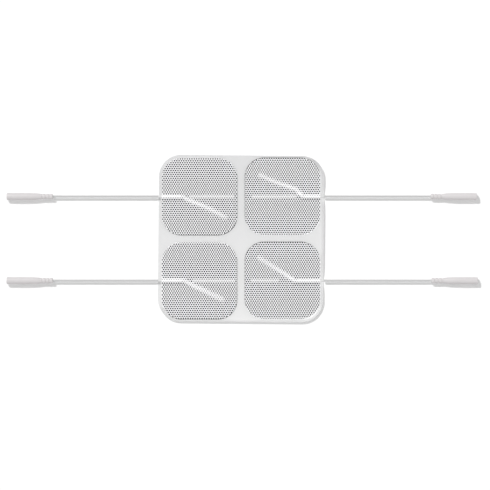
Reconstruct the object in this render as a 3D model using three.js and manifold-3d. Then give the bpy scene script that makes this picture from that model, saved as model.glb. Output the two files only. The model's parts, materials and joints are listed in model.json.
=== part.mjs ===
// Four rounded electrode pads on one release liner, each with a pigtail lead and a moulded pin
// socket. Millimetres. The origin is the centre of the liner's underside, +X runs along the leads,
// +Y from the lower pads to the upper ones, and +Z up through the stack.

import * as THREE from 'three';
import Module from 'manifold-3d';
import { mergeVertices } from 'three/addons/utils/BufferGeometryUtils.js';

// Layers lie this far apart, so that no two pieces share a face
const LAYER_GAP = 0.02;

// Release liner
const LINER_LENGTH = 107.4;
const LINER_WIDTH = 108.1;
const LINER_CORNER = 14.5;
const LINER_THICKNESS = 0.3;

// Pads, nearly square: a cover over a carbon film over a hydrogel layer. Length is along the lead.
const PAD_LENGTH = 48.9;
const PAD_WIDTH = 50;
const PAD_CORNER = 12.5;
const PAD_PITCH_X = 54;
const PAD_PITCH_Y = 54.6;
const GEL_INSET = 0.3;
const GEL_THICKNESS = 1.1;
const FILM_THICKNESS = 0.15;
const FILM_SHIFT_INWARDS = 0.15;
const FILM_SHIFT_SIDEWAYS = -0.25;
const COVER_THICKNESS = 0.35;
const CORNER_STEPS = 6;

// Heights of the stack
const GEL_BOTTOM = LINER_THICKNESS + LAYER_GAP;
const FILM_BOTTOM = GEL_BOTTOM + GEL_THICKNESS + LAYER_GAP;
const FILM_TOP = FILM_BOTTOM + FILM_THICKNESS;
const COVER_BOTTOM = FILM_TOP + LAYER_GAP;
const PAD_EDGE = PAD_LENGTH / 2;

// Lead: insulation around a stranded core
const LEAD_RADIUS = 0.7;
const CORE_RADIUS = 0.3;
const BORE_RADIUS = 0.32;
const LEAD_SIDES = 16;
const CORE_SIDES = 12;

// Moulded connector boot, measured along it from its open end
const BOOT_LENGTH = 30;
const BOOT_RADIUS = 2.35;
const BOOT_END_RADIUS = 2.26;
const BOOT_EDGE_ROUND = 0.35;
const BOOT_SIDES = 20;

// The barrel's radius at distances from the open end, from its widest place to the strain relief
const BARREL = [
  [BOOT_RADIUS, 9.5],
  [2.28, 15],
  [2.05, 20],
  [1.8, 21.9],
];

// Ringed strain relief
const RELIEF_RADIUS = 1.76;
const RELIEF_GROOVE_RADIUS = 1.38;
const RELIEF_GROOVES = 3;
const RELIEF_GROOVE_WIDTH = 0.9;
const RELIEF_GROOVE_SLOPE = 0.22;
const RELIEF_RIB_WIDTH = 1.5;
const RELIEF_START_AT = 22.6;

// The boot's mouth, narrower than the socket behind it
const MOUTH_RADIUS = 1.2;
const MOUTH_DEPTH = 1.0;

// Pin socket for a 2 mm pin
const SOCKET_RADIUS = 1.5;
const SOCKET_PIN_RADIUS = 1.02;
const SOCKET_FRONT_AT = 1.1;
const SOCKET_PIN_DEPTH_AT = 13;
const SOCKET_REAR_AT = 16;
const CRIMP_RADIUS = 0.95;
const CRIMP_REAR_AT = 19;
const SOCKET_SIDES = 16;
const FIT_GAP = 0.02;
const SOCKET_END_GAP = 0.1;

// The axis of every lead and boot is this high, so that the boots rest level with the liner
const LEAD_HEIGHT = BOOT_RADIUS;

// Bend points of a lead: just outside its pad, and just short of its boot. The lead is round-ended
// about each point, and its neighbour's flat end is BEND_CLEARANCE away.
const EXIT_BEND_OUT = 1.5;
const BEND_CLEARANCE = LEAD_RADIUS + 0.03;
const EXIT_BEND_X = -(PAD_EDGE + EXIT_BEND_OUT);
const TAIL_END_X = EXIT_BEND_X + BEND_CLEARANCE;
const BEND_END_STEPS = 3;

// Bare strands: they leave the insulation, settle on the film within SETTLE_LENGTH and fan out
const SETTLE_LENGTH = 7;
const STRAND_STEPS = 12;
const STRAND_HALF_WIDTH = 0.7;
const STRAND_HALF_HEIGHT = 0.28;
const STRAND_FILM_GAP = 0.04;
const CHANNEL_CLEARANCE = 0.03;
const CHANNEL_LEAD_IN = 0.5;
const CHANNEL_OVERRUN = 0.4;
const ARCH_STEPS = 8;

// Retaining strip in line with the lead
const STRIP_WIDTH = 1.7;
const STRIP_THICKNESS = 0.1;
const STRIP_RIB_SIDE = 0.35;

// The four electrodes. side is -1 where the lead runs out to the left and 1 to the right; row is 1
// for the upper pads and -1 for the lower ones. openEnd is how far the boot's open end is from the
// middle of the set, straight is how far the insulated lead runs in from the pad's outer edge, and
// fan is half the strands' width at their end. route gives the strands' way from the end of the
// insulation and strip where the retaining strip starts and ends, both from the pad's centre: first
// inwards, then sideways.
const ELECTRODES = [
  {
    number: 1, side: -1, row: 1, openEnd: 152.1, straight: 12.5, fan: 1.0, strip: [-6.5, 22.5],
    route: [[-10, -0.5], [-7.8, -2], [-1.7, -4.5], [4.8, -7.2], [11.3, -10.6], [16.7, -13.6]],
  },
  {
    number: 2, side: 1, row: 1, openEnd: 153.1, straight: 10.3, fan: 0.9, strip: [-9, 20],
    route: [[-12.2, -0.8], [-9, -4.2], [-4, -6.3], [4.7, -9.3], [14.3, -13.6]],
  },
  {
    number: 3, side: -1, row: -1, openEnd: 152.1, straight: 12.9, fan: 1.5, strip: [-4.5, 23],
    route: [[-9.4, -0.4], [-7, -1.6], [-2.4, -4.1], [3.4, -6.7], [9.2, -9.6], [15, -12.5]],
  },
  {
    number: 4, side: 1, row: -1, openEnd: 153.7, straight: 15.4, fan: 1.1, strip: [2.5, 20.5],
    route: [[-6.8, -0.6], [-2.5, -3.5], [2.5, -6.7], [8.3, -10.3], [15, -14.5]],
  },
];

const wasm = await Module();
wasm.setup();

const materials = {
  liner: plain(0xe2e2de, 0.35, 0),
  cover: plain(0xf4f4f2, 0.9, 0),
  strip: plain(0xf8f8f6, 0.9, 0),
  film: plain(0x1c1c1e, 0.6, 0),
  gel: plain(0xd8e0dc, 0.2, 0),
  lead: plain(0xf2f1f0, 0.5, 0),
  conductor: plain(0xc8c8ca, 0.35, 0.9),
  boot: plain(0xe1dcdc, 0.55, 0),
  socket: plain(0xc9c7bd, 0.3, 1),
};

function plain(color, roughness, metalness) {
  return new THREE.MeshStandardMaterial({ color, roughness, metalness });
}

// Outline of a rounded rectangle about the origin, anticlockwise
function roundedRectangle(length, width, corner) {
  const outline = [];
  for (let quarter = 0; quarter < 4; quarter += 1) {
    const start = (quarter * Math.PI) / 2;
    const middle = start + Math.PI / 4;
    const x = Math.sign(Math.cos(middle)) * (length / 2 - corner);
    const y = Math.sign(Math.sin(middle)) * (width / 2 - corner);
    for (let step = 0; step <= CORNER_STEPS; step += 1) {
      const angle = start + ((Math.PI / 2) * step) / CORNER_STEPS;
      outline.push(new THREE.Vector2(x + corner * Math.cos(angle), y + corner * Math.sin(angle)));
    }
  }
  return outline;
}

function slab(length, width, corner, bottom, thickness) {
  const shape = new THREE.Shape(roundedRectangle(length, width, corner));
  const geometry = new THREE.ExtrudeGeometry(shape, { depth: thickness, bevelEnabled: false });
  return geometry.translate(0, 0, bottom);
}

function box(fromX, toX, width, bottom, thickness) {
  const geometry = new THREE.BoxGeometry(toX - fromX, width, thickness);
  return geometry.translate((fromX + toX) / 2, 0, bottom + thickness / 2);
}

// A body turned about the lead's axis. The profile is [radius, x] pairs, outer wall towards +X.
function turned(profile, sides) {
  const points = profile.map(([radius, x]) => new THREE.Vector2(radius, x));
  const geometry = new THREE.LatheGeometry(points, sides);
  return geometry.rotateZ(-Math.PI / 2).translate(0, 0, LEAD_HEIGHT);
}

// A closed skin over rings of equal point count, each anticlockwise when looking along the path
function skinRings(rings) {
  const count = rings[0].length;
  const corners = [];
  for (let ring = 0; ring < rings.length - 1; ring += 1) {
    for (let at = 0; at < count; at += 1) {
      const here = ring * count + at;
      const beside = ring * count + ((at + 1) % count);
      corners.push(here, here + count, beside);
      corners.push(beside, here + count, beside + count);
    }
  }
  const last = (rings.length - 1) * count;
  for (let at = 1; at < count - 1; at += 1) {
    corners.push(0, at, at + 1);
    corners.push(last, last + at + 1, last + at);
  }
  const geometry = new THREE.BufferGeometry().setFromPoints(rings.flat());
  geometry.setIndex(corners);
  geometry.computeVertexNormals();
  return geometry;
}

// Unit vectors to the right of the path at each station, from the neighbours on either side
function rightOfPath(stations) {
  return stations.map((station, index) => {
    const before = stations[Math.max(index - 1, 0)];
    const after = stations[Math.min(index + 1, stations.length - 1)];
    const along = new THREE.Vector2(after.x - before.x, after.y - before.y).normalize();
    return new THREE.Vector2(along.y, -along.x);
  });
}

function pointBeside(station, right, aside, height) {
  return new THREE.Vector3(station.x + right.x * aside, station.y + right.y * aside, height);
}

// An oval rod along stations that give x, y, height, halfWidth and halfHeight
function ovalRod(stations, sides) {
  const rights = rightOfPath(stations);
  const rings = stations.map((station, index) => {
    const ring = [];
    for (let at = 0; at < sides; at += 1) {
      const angle = (2 * Math.PI * at) / sides;
      const aside = station.halfWidth * Math.cos(angle);
      const height = station.height + station.halfHeight * Math.sin(angle);
      ring.push(pointBeside(station, rights[index], aside, height));
    }
    return ring;
  });
  return skinRings(rings);
}

// An arched tunnel along the same stations, grown by a margin, with a flat floor
function archedRun(stations, margin, floor) {
  const rights = rightOfPath(stations);
  const rings = stations.map((station, index) => {
    const width = station.halfWidth + margin;
    const rise = station.halfHeight + margin;
    const ring = [pointBeside(station, rights[index], -width, floor)];
    ring.push(pointBeside(station, rights[index], width, floor));
    for (let step = 0; step <= ARCH_STEPS; step += 1) {
      const angle = (Math.PI * step) / ARCH_STEPS;
      const aside = width * Math.cos(angle);
      const height = station.height + rise * Math.sin(angle);
      ring.push(pointBeside(station, rights[index], aside, height));
    }
    return ring;
  });
  return skinRings(rings);
}

function toSolid(geometry) {
  const bare = geometry.clone();
  bare.deleteAttribute('normal');
  bare.deleteAttribute('uv');
  const merged = mergeVertices(bare, 1e-4);
  const mesh = new wasm.Mesh({
    numProp: 3,
    vertProperties: new Float32Array(merged.attributes.position.array),
    triVerts: new Uint32Array(merged.index.array),
  });
  return new wasm.Manifold(mesh);
}

function toGeometry(solid) {
  const mesh = solid.getMesh();
  const geometry = new THREE.BufferGeometry();
  geometry.setAttribute('position', new THREE.BufferAttribute(mesh.vertProperties, 3));
  geometry.setIndex(new THREE.BufferAttribute(mesh.triVerts, 1));
  geometry.computeVertexNormals();
  return geometry;
}

function smooth(fraction) {
  return fraction * fraction * (3 - 2 * fraction);
}

function insulationEnd(electrode) {
  return -PAD_EDGE + electrode.straight;
}

// Stations from the end of the insulation to the end of the strands. from gives the section where
// the insulation ends, and the section settles to the flattened strands on the film.
function strandStations(electrode, from, overrun) {
  const way = [[insulationEnd(electrode), 0], ...electrode.route];
  const curve = new THREE.SplineCurve(way.map(([x, y]) => new THREE.Vector2(x, y)));
  const points = curve.getSpacedPoints(STRAND_STEPS);
  points[STRAND_STEPS].addScaledVector(curve.getTangent(1), overrun);
  const settled = FILM_TOP + STRAND_FILM_GAP + STRAND_HALF_HEIGHT;
  return points.map((at, step) => {
    const done = step / STRAND_STEPS;
    const share = smooth(Math.min(1, (done * curve.getLength()) / SETTLE_LENGTH));
    const spread = (electrode.fan - STRAND_HALF_WIDTH) * done;
    return {
      x: at.x,
      y: at.y,
      height: THREE.MathUtils.lerp(LEAD_HEIGHT, settled, share),
      halfWidth: THREE.MathUtils.lerp(from.halfWidth, STRAND_HALF_WIDTH, share) + spread,
      halfHeight: THREE.MathUtils.lerp(from.halfHeight, STRAND_HALF_HEIGHT, share),
    };
  });
}

function levelStation(x, halfSize) {
  return { x, y: 0, height: LEAD_HEIGHT, halfWidth: halfSize, halfHeight: halfSize };
}

function strandsBody(electrode) {
  const section = { halfWidth: CORE_RADIUS, halfHeight: CORE_RADIUS };
  const inTail = levelStation(TAIL_END_X, CORE_RADIUS);
  return ovalRod([inTail, ...strandStations(electrode, section, 0)], CORE_SIDES);
}

// The run that the lead tail and the strands take under the cover, starting at x
function coveredRun(electrode, startX, overrun) {
  const section = { halfWidth: LEAD_RADIUS, halfHeight: LEAD_RADIUS };
  const insulated = [startX, insulationEnd(electrode) + CHANNEL_LEAD_IN];
  const beyond = strandStations(electrode, section, overrun).slice(1);
  return [...insulated.map((x) => levelStation(x, LEAD_RADIUS)), ...beyond];
}

function stripBody(electrode) {
  const [start, end] = electrode.strip;
  return box(start, end, STRIP_WIDTH, COVER_BOTTOM, STRIP_THICKNESS);
}

// Rib and groove in the cover over the retaining strip
function stripRib(electrode) {
  const [start, end] = electrode.strip;
  const width = STRIP_WIDTH + 2 * STRIP_RIB_SIDE;
  const bottom = COVER_BOTTOM + COVER_THICKNESS / 2;
  const height = STRIP_THICKNESS + CHANNEL_CLEARANCE + COVER_THICKNESS / 2;
  return box(start - STRIP_RIB_SIDE, end + STRIP_RIB_SIDE, width, bottom, height);
}

function stripGroove(electrode) {
  const [start, end] = electrode.strip;
  const width = STRIP_WIDTH + 2 * CHANNEL_CLEARANCE;
  const depth = STRIP_THICKNESS + CHANNEL_CLEARANCE;
  return box(start - CHANNEL_CLEARANCE, end + CHANNEL_CLEARANCE, width, COVER_BOTTOM - depth, 2 * depth);
}

// The cover: a sheet raised in a ridge over the lead and the strands, hollow beneath
function coverBody(electrode) {
  const ridgeStart = -PAD_EDGE + LAYER_GAP;
  const channelStart = -PAD_EDGE - COVER_THICKNESS;
  const ridgeFloor = COVER_BOTTOM + COVER_THICKNESS / 2;
  const channelFloor = COVER_BOTTOM - COVER_THICKNESS;
  const ridgeMargin = CHANNEL_CLEARANCE + COVER_THICKNESS;
  const ridgeRun = coveredRun(electrode, ridgeStart, CHANNEL_OVERRUN + COVER_THICKNESS);
  const channelRun = coveredRun(electrode, channelStart, CHANNEL_OVERRUN);
  const ridge = archedRun(ridgeRun, ridgeMargin, ridgeFloor);
  const channel = archedRun(channelRun, CHANNEL_CLEARANCE, channelFloor);
  const sheet = slab(PAD_LENGTH, PAD_WIDTH, PAD_CORNER, COVER_BOTTOM, COVER_THICKNESS);
  const raised = toSolid(sheet).add(toSolid(ridge)).add(toSolid(stripRib(electrode)));
  const hollowed = raised.subtract(toSolid(channel)).subtract(toSolid(stripGroove(electrode)));
  return toGeometry(hollowed);
}

function gelBody() {
  const length = PAD_LENGTH - 2 * GEL_INSET;
  const width = PAD_WIDTH - 2 * GEL_INSET;
  return slab(length, width, PAD_CORNER - GEL_INSET, GEL_BOTTOM, GEL_THICKNESS);
}

function filmBody() {
  const film = slab(PAD_LENGTH, PAD_WIDTH, PAD_CORNER, FILM_BOTTOM, FILM_THICKNESS);
  return film.translate(FILM_SHIFT_INWARDS, FILM_SHIFT_SIDEWAYS, 0);
}

// The insulated end of the lead that lies under the cover
function tailBody(electrode) {
  const inner = insulationEnd(electrode);
  const profile = [
    [LEAD_RADIUS, TAIL_END_X],
    [LEAD_RADIUS, inner],
    [BORE_RADIUS, inner],
    [BORE_RADIUS, TAIL_END_X],
    [LEAD_RADIUS, TAIL_END_X],
  ];
  return turned(profile, LEAD_SIDES);
}

// Rounded end of the insulation about a bend point, from the full radius in to the bore
function roundEnd(bendX, direction) {
  const inner = Math.asin(BORE_RADIUS / LEAD_RADIUS);
  const points = [];
  for (let step = 0; step <= BEND_END_STEPS; step += 1) {
    const angle = THREE.MathUtils.lerp(Math.PI / 2, inner, step / BEND_END_STEPS);
    const along = direction * LEAD_RADIUS * Math.cos(angle);
    points.push([LEAD_RADIUS * Math.sin(angle), bendX + along]);
  }
  return points;
}

// The free lead's insulation, round-ended about both bend points
function jacketBody(plugBendX) {
  const padEnd = roundEnd(EXIT_BEND_X, 1);
  const plugEnd = roundEnd(plugBendX, -1).reverse();
  const profile = [...plugEnd, ...padEnd, plugEnd[0]];
  return turned(profile, LEAD_SIDES);
}

function rod(radius, fromX, toX) {
  return turned([[0, fromX], [radius, fromX], [radius, toX], [0, toX]], CORE_SIDES);
}

// The boot's outside from its open end, as [radius, distance from the open end]
function bootOutside() {
  const midway = BOOT_EDGE_ROUND * (1 - Math.SQRT1_2);
  const points = [
    [BOOT_END_RADIUS - BOOT_EDGE_ROUND, 0],
    [BOOT_END_RADIUS - midway, midway],
    [BOOT_END_RADIUS, BOOT_EDGE_ROUND],
    ...BARREL,
  ];
  for (let groove = 0; groove < RELIEF_GROOVES; groove += 1) {
    const at = RELIEF_START_AT + groove * (RELIEF_GROOVE_WIDTH + RELIEF_RIB_WIDTH);
    points.push([RELIEF_RADIUS, at]);
    points.push([RELIEF_GROOVE_RADIUS, at + RELIEF_GROOVE_SLOPE]);
    points.push([RELIEF_GROOVE_RADIUS, at + RELIEF_GROOVE_WIDTH - RELIEF_GROOVE_SLOPE]);
    points.push([RELIEF_RADIUS, at + RELIEF_GROOVE_WIDTH]);
  }
  points.push([RELIEF_RADIUS, BOOT_LENGTH]);
  return points;
}

// The boot's inside, from its rear face back to its mouth
function bootInside() {
  return [
    [BORE_RADIUS, BOOT_LENGTH],
    [BORE_RADIUS, CRIMP_REAR_AT + SOCKET_END_GAP],
    [CRIMP_RADIUS + FIT_GAP, CRIMP_REAR_AT + SOCKET_END_GAP],
    [CRIMP_RADIUS + FIT_GAP, SOCKET_REAR_AT + SOCKET_END_GAP],
    [SOCKET_RADIUS + FIT_GAP, SOCKET_REAR_AT + SOCKET_END_GAP],
    [SOCKET_RADIUS + FIT_GAP, MOUTH_DEPTH],
    [MOUTH_RADIUS, MOUTH_DEPTH],
    [MOUTH_RADIUS, 0],
  ];
}

// The boot and the pieces in it are built with the boot's open end at x = 0
function bootBody() {
  const outside = bootOutside();
  const profile = [...outside, ...bootInside(), outside[0]];
  return turned(profile, BOOT_SIDES);
}

// The socket: a blind pin bore at the front and a crimp for the core at the rear
function socketBody() {
  const profile = [
    [0, SOCKET_PIN_DEPTH_AT],
    [SOCKET_PIN_RADIUS, SOCKET_PIN_DEPTH_AT],
    [SOCKET_PIN_RADIUS, SOCKET_FRONT_AT],
    [SOCKET_RADIUS, SOCKET_FRONT_AT],
    [SOCKET_RADIUS, SOCKET_REAR_AT],
    [CRIMP_RADIUS, SOCKET_REAR_AT],
    [CRIMP_RADIUS, CRIMP_REAR_AT],
    [BORE_RADIUS, CRIMP_REAR_AT],
    [BORE_RADIUS, SOCKET_REAR_AT],
    [0, SOCKET_REAR_AT],
  ];
  return turned(profile, SOCKET_SIDES);
}

// The left electrodes are built as drawn, and the right ones are the same turned half round
function place(geometry, electrode) {
  if (electrode.side > 0) {
    geometry.rotateZ(Math.PI);
  }
  return geometry.translate((electrode.side * PAD_PITCH_X) / 2, (electrode.row * PAD_PITCH_Y) / 2, 0);
}

function addPiece(name, geometry, material) {
  const mesh = new THREE.Mesh(geometry, material);
  mesh.name = name;
  group.add(mesh);
}

function addElectrode(electrode) {
  const openEndX = PAD_PITCH_X / 2 - electrode.openEnd;
  const plugBendX = openEndX + BOOT_LENGTH + BEND_CLEARANCE;
  const coreFrom = plugBendX + SOCKET_END_GAP;
  const coreTo = EXIT_BEND_X - SOCKET_END_GAP;
  const coreEnd = rod(CORE_RADIUS, SOCKET_REAR_AT + SOCKET_END_GAP, BOOT_LENGTH - SOCKET_END_GAP);
  const pieces = [
    ['gel', gelBody(), materials.gel],
    ['film', filmBody(), materials.film],
    ['cover', coverBody(electrode), materials.cover],
    ['strip', stripBody(electrode), materials.strip],
    ['lead_tail', tailBody(electrode), materials.lead],
    ['strands', strandsBody(electrode), materials.conductor],
    ['lead_jacket', jacketBody(plugBendX), materials.lead],
    ['lead_core', rod(CORE_RADIUS, coreFrom, coreTo), materials.conductor],
    ['boot', bootBody().translate(openEndX, 0, 0), materials.boot],
    ['pin_socket', socketBody().translate(openEndX, 0, 0), materials.socket],
    ['core_end', coreEnd.translate(openEndX, 0, 0), materials.conductor],
  ];
  for (const [name, geometry, material] of pieces) {
    addPiece(`${name}_${electrode.number}`, place(geometry, electrode), material);
  }
}

const group = new THREE.Group();
const liner = slab(LINER_LENGTH, LINER_WIDTH, LINER_CORNER, 0, LINER_THICKNESS);
addPiece('release_liner', liner, materials.liner);
for (const electrode of ELECTRODES) {
  addElectrode(electrode);
}

export default group;
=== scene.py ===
"""Visual model of a set of four electrode pads on a release liner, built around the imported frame."""
import json
import math

import bpy
import numpy as np
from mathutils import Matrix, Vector
from mathutils.geometry import delaunay_2d_cdt

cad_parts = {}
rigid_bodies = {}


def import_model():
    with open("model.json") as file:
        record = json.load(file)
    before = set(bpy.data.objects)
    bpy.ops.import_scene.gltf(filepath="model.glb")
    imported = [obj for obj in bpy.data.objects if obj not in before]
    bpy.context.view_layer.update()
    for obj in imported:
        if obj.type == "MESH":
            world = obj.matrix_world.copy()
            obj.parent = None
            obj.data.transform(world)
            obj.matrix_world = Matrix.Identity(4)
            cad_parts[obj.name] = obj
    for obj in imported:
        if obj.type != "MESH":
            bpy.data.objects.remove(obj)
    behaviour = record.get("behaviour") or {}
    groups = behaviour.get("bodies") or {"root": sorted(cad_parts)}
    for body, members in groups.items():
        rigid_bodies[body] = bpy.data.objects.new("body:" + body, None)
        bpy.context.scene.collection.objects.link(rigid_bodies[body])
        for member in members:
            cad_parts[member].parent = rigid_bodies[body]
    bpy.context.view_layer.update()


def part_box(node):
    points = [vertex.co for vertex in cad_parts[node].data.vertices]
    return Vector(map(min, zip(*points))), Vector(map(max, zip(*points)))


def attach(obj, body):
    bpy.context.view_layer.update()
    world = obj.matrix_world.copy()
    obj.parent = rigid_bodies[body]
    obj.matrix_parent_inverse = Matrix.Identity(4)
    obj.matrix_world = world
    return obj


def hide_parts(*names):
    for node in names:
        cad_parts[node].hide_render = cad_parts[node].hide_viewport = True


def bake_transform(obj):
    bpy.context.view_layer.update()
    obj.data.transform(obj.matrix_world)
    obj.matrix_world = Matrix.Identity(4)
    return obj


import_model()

# Lengths are in millimetres until a mesh is made, and then in metres.
MM = 0.001
PAD_NUMBERS = (1, 2, 3, 4)

# Meshes
SHARP_DEGREES = 35
CORNER_STEPS_LEAST = 6
ONLY_INSIDE_OUTLINES = 1
MERGE_DISTANCE = 1e-5

# Liner. Its edge curls up, most at the lower right, and little where the leads cross it.
# Its tone is painted shading, darker at the top and lighter at the bottom, changing over the shade
# reach, in metres, from above its middle to as far below it.
LINER_CORNER = 14.5
LINER_SKEW_DEGREES = -0.5
LINER_PAINTED_SHADE_REACH = 0.05
LINER_CURL = 0.15
LINER_CURL_WIDTH = 1.7
CURL_POWER = 1.4
LOWER_RIGHT_CURL = 1.6
LOWER_RIGHT_START = 0.75
LOWER_RIGHT_BLEND = 0.2
CURL_UNDER_LEAD = 0.35
HELD_DOWN_REACH = 5.0
HELD_DOWN_INSET = 5.0
LINER_STEP = 6.0
LINER_OUTLINE_STEP = 1.2
CURL_STEP = 0.3
CURL_STEPS_BEYOND = 0.5
GRID_BEYOND_CURL = 1.0

# Pad layers. Their points are close along u, the way they peel. The gel's rim bulges: each entry is
# how far out, at which share of its height.
PAD_CORNER = 12.5
LAYER_GAP = 0.02
COVER_THICKNESS = 0.35
LAYER_STEP_U = 0.6
LAYER_STEP_V = 2.6
LAYER_OUTLINE_STEP = 1.0
LAYER_GRID_INSET = 0.8
GEL_CORNER_LESS = 0.3
GEL_RIM = ((0.12, 0.85), (0.2, 0.5), (0.12, 0.15))

# Perforations: a staggered pattern with its rows along the leads. Holes are drawn narrow as far as
# NARROW_START from the ridge's crest, and widen to the full radius over NARROW_EDGE. A hole is left
# out where its centre is more than EDGE_HOLE_SHARE of its radius outside the pad.
HOLE_PITCH = 1.516
HOLE_ROW_PITCH = 1.265
HOLE_RADIUS = 0.55
HOLE_SIDES = 12
NARROW_HOLE_RADIUS = 0.35
NARROW_START = 0.7
NARROW_EDGE = 0.8
EDGE_HOLE_SHARE = 0.6

# The cover's ridge: half-widths of its crest and foot over the lead, the strands and their fan
LEAD_CREST = 0.25
LEAD_FOOT = 3.1
STRAND_CREST = 0.35
STRAND_FOOT = 1.8
FAN_CREST_SHARE = 0.55
FAN_FOOT_MARGIN = 0.9
FAN_NARROWING = 0.5
RIDGE_RUN_OUT = 2.0
RIDGE_GUIDE_STEP = 0.6
RIDGE_GUIDE_OFFSETS = (0, 0.25, 0.5, 0.75, 1.0, 1.3, 1.6, 1.9, 2.3, 2.7)
HOLE_GUIDE_GAP = 0.12
COVER_OUTLINE_STEP = 0.4
COVER_GUIDE_INSET = 0.2

# Tape across the pad, and how the cover slopes down beside it
STRIP_GAP = 0.02
STRIP_MARGIN = 0.2
STRIP_SLOPE = 0.5

# Lead, from the pad to the boot. Its rings are close together where it bends.
LEAD_RADIUS = 0.7
LEAD_SIDES = 24
CORE_RADIUS = 0.3
CORE_SIDES = 12
CLEARANCE = 0.03
LEAD_BEND_STEP = 0.4
LEAD_BEND_INSIDE = 0.5
LEAD_BEND_BEYOND = 1.0
LEAD_RINGS_OUTSIDE = 22
LEAD_RINGS_INSIDE = 6

# Bare strands: twisted where they leave the insulation, then fanned out on the film. WIRE_ORDER mixes
# which wire lies where, and every second one lies WIRE_STAGGER higher.
SETTLE_LENGTH = 7.0
SPLINE_STEPS = 10
STRAND_HALF_WIDTH = 0.7
STRAND_HEIGHT = 0.56
STRAND_FILM_GAP = 0.04
STRAND_STEP = 0.8
STRAND_INSET = 0.2
STRAND_END_GAP = 0.3
WIRES = 7
WIRE_RADIUS = 0.1
WIRE_SIDES = 6
WIRE_LAY = 9.0
WIRE_ORDER = 3
WIRE_LIFT = 0.02
WIRE_STAGGER = 0.16
WIRE_RIPPLE = 0.1
RIPPLE_PER_MM = 1.1
RIPPLE_PER_WIRE = 2.0

# What differs between the electrodes. fan is half the width of the spread strands. pattern is where
# one hole's centre lies and route the strands' way from the insulation's end, both as u and v.
ELECTRODES = {
    1: {
        "fan": 1.0, "pattern": (0.47, 0.43),
        "route": [(-10, -0.5), (-7.8, -2), (-1.7, -4.5), (4.8, -7.2), (11.3, -10.6), (16.7, -13.6)],
    },
    2: {
        "fan": 0.9, "pattern": (-0.52, 0.51),
        "route": [(-12.2, -0.8), (-9, -4.2), (-4, -6.3), (4.7, -9.3), (14.3, -13.6)],
    },
    3: {
        "fan": 1.5, "pattern": (0.97, -0.44),
        "route": [(-9.4, -0.4), (-7, -1.6), (-2.4, -4.1), (3.4, -6.7), (9.2, -9.6), (15, -12.5)],
    },
    4: {
        "fan": 1.1, "pattern": (-0.71, 0.67),
        "route": [(-6.8, -0.6), (-2.5, -3.5), (2.5, -6.7), (8.3, -10.3), (15, -14.5)],
    },
}

# How far the bends reach: to both sides of the pad's inner edge, outwards from its outer edge, and
# into the boot from just outside its rear
PEEL_REACH = 22.0
EXIT_REACH = 5.5
PLUG_REACH = 8.5
PLUG_START = 2.0

# Boot. Places along it are distances from its open end, but the lead's socket is measured from the
# rear. The barrel's rows are [radius, distance].
BOOT_SIDES = 44
BOOT_EDGE = 0.35
EDGE_STEPS = 4
BOOT_BARREL = [[2.26, 0.35], [2.30, 3.5], [2.34, 7.0], [2.35, 9.5], [2.33, 12.0], [2.28, 15.0],
               [2.19, 17.6], [2.05, 20.0], [1.92, 21.2], [1.80, 21.9]]
BARREL_RINGS = 34
SEAM_HEIGHT = 0.03
RELIEF_RADIUS = 1.76
RELIEF_GROOVE_RADIUS = 1.38
RELIEF_GROOVES = 3
RELIEF_START = 22.6
RELIEF_GROOVE_WIDTH = 0.9
RELIEF_PERIOD = 2.4
RELIEF_EDGE = 0.4
GROOVE_SHARES = (0, 0.12, 0.25, 0.4, 0.6, 0.75, 0.88, 1.0)
GROOVE_POWER = 0.7
RIB_SHARES = (0.25, 0.5, 0.75)
RIB_SWELL = 0.05
LEAD_SOCKET_DEPTH = 2.2
LEAD_SOCKET_STEPS = (0.7, 1.4)
LEAD_IN_BOOT = 0.3
LEAD_BORE = 0.82
CORE_BORE = 0.45
CORE_BORE_STEP = 1.0
CORE_BORE_FRONT = 19.2
CORE_BORE_RINGS = 6
CRIMP_BORE = 0.97
CRIMP_BORE_REAR = 19.1
CRIMP_BORE_FRONT = 16.1
MOUTH_RADIUS = 1.2
MOUTH_DEPTH = 1.0
MOUTH_CHAMFER = 0.12

# Pin socket and the conductor's end inside the boot
SOCKET_SIDES = 40
SOCKET_OUTER = 1.5
SOCKET_PLAY = 0.02
PIN_RADIUS = 1.02
CORE_END_FRONT = 16.3
CORE_END_GAP = 0.1
CORE_END_RINGS = 16

# Stage. The camera's view and its sensor are in millimetres, the floor and clip distance in metres.
FRAME_WIDTH = 318.5
VIEW_CENTRE = Vector((2.6, -4.19, 0.0))
LENS = 200.0
SENSOR = 36.0
CLIP_END = 100
FLOOR_REACH = 6.0
FLOOR_HEIGHT = -0.00002
KEY_FROM = Vector((-0.58, 0.8, 1.0))
KEY_STRENGTH = 2.1
FILL_FROM = Vector((0.5, -0.8, 1.0))
FILL_STRENGTH = 0.95
SUN_ANGLE = 6.0
SKY_STRENGTH = 0.42
SHADOWLESS = ("hydrogel_", "carbon_film_", "perforated_cover_", "retaining_strip_", "bare_strands_",
              "lead_exit_", "lead_conductor_")


def smooth(share):
    """Ease in and out between 0 and 1."""
    share = np.clip(share, 0, 1)
    return share * share * (3 - 2 * share)


def mm_box(node):
    """Lowest and highest corner of a CAD node, in millimetres."""
    low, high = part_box(node)
    return low / MM, high / MM


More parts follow.
